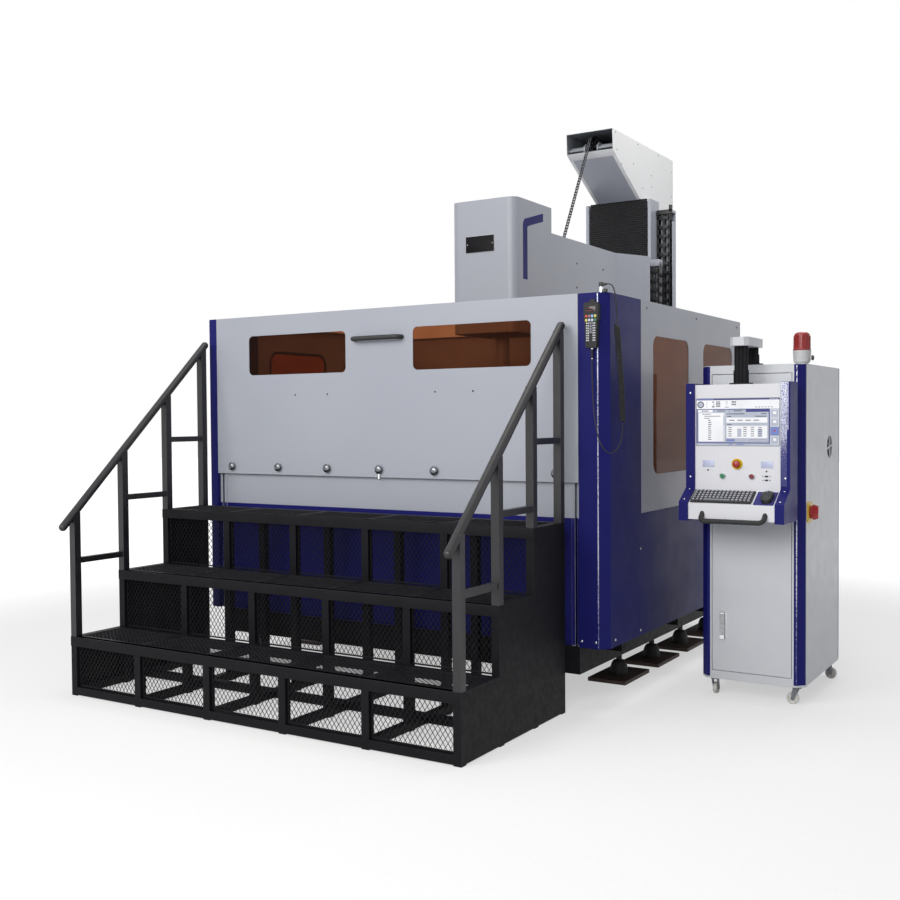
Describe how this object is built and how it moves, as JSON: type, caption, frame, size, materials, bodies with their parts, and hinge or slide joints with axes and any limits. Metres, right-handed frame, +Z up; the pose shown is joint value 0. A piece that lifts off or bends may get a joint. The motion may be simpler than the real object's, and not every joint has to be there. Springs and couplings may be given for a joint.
{
  "type": "wire electrical discharge machine",
  "caption": "Large enclosed wire EDM: travelling table behind a sliding windowed door, overhead wire arm on a rear column, mesh operator stairs, control cabinet with hanging console.",
  "frame": {"origin": "centre of the bounding box of the whole set, on the floor it stands on", "axes": "+Z up; -Y is the operator's side, with the stairs and the sliding door; +X is the side of the control cabinet"},
  "size_m": [3.461, 5.3699, 3.58],
  "materials": {
    "blue_paint": "gloss",
    "grey_paint": "satin",
    "pale_paint": "satin",
    "black_paint": "satin",
    "brown_steel": "rusted",
    "casting": "painted matt",
    "machined": "ground",
    "hood_sheet": "gloss",
    "chrome": "polished",
    "dark_steel": "oiled",
    "amber_pane": "tinted",
    "black_plastic": "grained",
    "grey_plastic": "satin",
    "white_plastic": "satin",
    "rubber": "matt",
    "red_plastic": "gloss",
    "yellow_plastic": "gloss",
    "green_plastic": "gloss",
    "screen_glass": "lit screen"
  },
  "bodies": {
    "machine": {"bed": "black_paint", "foot_plates": "brown_steel", "foot_domes": "rubber", "corner_columns": "blue_paint", "skirts": "blue_paint", "wall_panels": "grey_paint", "side_windows": "amber_pane", "apron_panel": "grey_paint", "column": "grey_paint", "hood": "hood_sheet", "bellows": "rubber", "drag_chain": "black_plastic", "lift_chain": "dark_steel", "lower_arm": "machined", "stair_frame": "black_paint", "stair_treads": "black_paint", "stair_risers": "black_paint", "handrails": "black_paint", "cabinet_shell": "pale_paint", "cabinet_posts": "blue_paint", "switch_plate": "yellow_plastic", "beacon_base": "grey_plastic", "beacon_lens": "red_plastic", "arm_support": "black_paint", "remote": "black_plastic", "remote_cord": "rubber", "remote_coil": "rubber"},
    "sprocket": {"lift_sprocket": "dark_steel"},
    "arm": {"upper_arm": "grey_paint", "head_cover": "grey_paint"},
    "saddle": {"saddle": "casting"},
    "table": {"worktable": "machined"},
    "drum_carriage": {"drum_carriage": "casting"},
    "drum": {"wire_drum": "machined"},
    "door": {"front_door": "grey_paint", "door_windows": "amber_pane", "door_handle": "black_plastic", "door_knobs": "chrome"},
    "cabinet_door": {"cabinet_door": "pale_paint"},
    "latch": {"door_latch": "black_plastic"},
    "fan": {"fan_rotor": "black_plastic"},
    "switch": {"switch_handle": "red_plastic"},
    "swing_arm": {"swing_arm": "pale_paint"},
    "console": {"console_shell": "pale_paint", "console_cheeks": "blue_paint", "screen": "screen_glass", "keyboard_and_mouse": "black_plastic", "hanger": "black_paint", "console_handle": "rubber"},
    "estop": {"estop_button": "red_plastic"},
    "start": {"start_button": "green_plastic"},
    "stop": {"stop_button": "red_plastic"},
    "fork_fl": {"caster_fork_fl": "chrome"},
    "wheel_fl": {"caster_wheel_fl": "white_plastic"},
    "fork_fr": {"caster_fork_fr": "chrome"},
    "wheel_fr": {"caster_wheel_fr": "white_plastic"},
    "fork_rl": {"caster_fork_rl": "chrome"},
    "wheel_rl": {"caster_wheel_rl": "white_plastic"},
    "fork_rr": {"caster_fork_rr": "chrome"},
    "wheel_rr": {"caster_wheel_rr": "white_plastic"}
  },
  "joints": [
    {"name": "z_axis", "type": "slide", "parent": "machine", "child": "arm", "axis": [0, 0, 1], "range_m": [0, 0.3], "deforming": ["bellows", "lift_chain", "drag_chain"]},
    {"name": "sprocket_spin", "type": "hinge", "parent": "machine", "child": "sprocket", "pos_m": [-0.4155, 1.225, 3.48], "axis": [1, 0, 0], "range_deg": [-180, 0]},
    {"name": "y_axis", "type": "slide", "parent": "machine", "child": "saddle", "axis": [0, 1, 0], "range_m": [-0.2, 0.2]},
    {"name": "x_axis", "type": "slide", "parent": "saddle", "child": "table", "axis": [1, 0, 0], "range_m": [-0.3, 0.3]},
    {"name": "drum_traverse", "type": "slide", "parent": "machine", "child": "drum_carriage", "axis": [0, 1, 0], "range_m": [-0.075, 0.075]},
    {"name": "drum_spin", "type": "hinge", "parent": "drum_carriage", "child": "drum", "pos_m": [-0.8155, 1.235, 0.79], "axis": [0, 1, 0], "continuous": true},
    {"name": "door_slide", "type": "slide", "parent": "machine", "child": "door", "axis": [0, 0, 1], "range_m": [-0.75, 0]},
    {"name": "cabinet_door_hinge", "type": "hinge", "parent": "machine", "child": "cabinet_door", "pos_m": [1.6155, -0.961, 0.9015], "axis": [0, 0, 1], "range_deg": [0, 4]},
    {"name": "latch_hinge", "type": "hinge", "parent": "cabinet_door", "child": "latch", "pos_m": [1.2785, -0.9765, 0.44], "axis": [-1, 0, 0], "range_deg": [0, 50]},
    {"name": "fan_spin", "type": "hinge", "parent": "machine", "child": "fan", "pos_m": [1.6645, -0.427, 1.281], "axis": [1, 0, 0], "continuous": true},
    {"name": "main_switch", "type": "hinge", "parent": "machine", "child": "switch", "pos_m": [1.6945, -0.86, 0.966], "axis": [1, 0, 0], "range_deg": [0, 90]},
    {"name": "arm_swing", "type": "hinge", "parent": "machine", "child": "swing_arm", "pos_m": [1.4125, -0.92, 1.792], "axis": [0, 0, 1], "range_deg": [-3, 3]},
    {"name": "console_swivel", "type": "hinge", "parent": "swing_arm", "child": "console", "pos_m": [1.4125, -1.098, 1.792], "axis": [0, 0, 1], "range_deg": [-5, 5]},
    {"name": "estop_push", "type": "slide", "parent": "console", "child": "estop", "axis": [0, 1, 0], "range_m": [0, 0.004], "stiffness_N_per_m": 900, "springref_m": -0.004},
    {"name": "start_push", "type": "slide", "parent": "console", "child": "start", "axis": [0, 1, 0], "range_m": [0, 0.003], "stiffness_N_per_m": 600, "springref_m": -0.003},
    {"name": "stop_push", "type": "slide", "parent": "console", "child": "stop", "axis": [0, 1, 0], "range_m": [0, 0.003], "stiffness_N_per_m": 600, "springref_m": -0.003},
    {"name": "caster_swivel_fl", "type": "hinge", "parent": "machine", "child": "fork_fl", "pos_m": [1.2145, -0.895, 0.1], "axis": [0, 0, 1], "continuous": true},
    {"name": "wheel_spin_fl", "type": "hinge", "parent": "fork_fl", "child": "wheel_fl", "pos_m": [1.2145, -0.875, 0.03], "axis": [1, 0, 0], "continuous": true},
    {"name": "caster_swivel_fr", "type": "hinge", "parent": "machine", "child": "fork_fr", "pos_m": [1.6345, -0.895, 0.1], "axis": [0, 0, 1], "continuous": true},
    {"name": "wheel_spin_fr", "type": "hinge", "parent": "fork_fr", "child": "wheel_fr", "pos_m": [1.6145, -0.895, 0.03], "axis": [0, 1, 0], "continuous": true},
    {"name": "caster_swivel_rl", "type": "hinge", "parent": "machine", "child": "fork_rl", "pos_m": [1.2145, -0.245, 0.1], "axis": [0, 0, 1], "continuous": true},
    {"name": "wheel_spin_rl", "type": "hinge", "parent": "fork_rl", "child": "wheel_rl", "pos_m": [1.2145, -0.225, 0.03], "axis": [1, 0, 0], "continuous": true},
    {"name": "caster_swivel_rr", "type": "hinge", "parent": "machine", "child": "fork_rr", "pos_m": [1.6345, -0.245, 0.1], "axis": [0, 0, 1], "continuous": true},
    {"name": "wheel_spin_rr", "type": "hinge", "parent": "fork_rr", "child": "wheel_rr", "pos_m": [1.6545, -0.245, 0.03], "axis": [0, 1, 0], "continuous": true}
  ],
  "couplings": [
    {"joint": "sprocket_spin", "follows": "z_axis", "rad_per_m": -9.5}
  ]
}
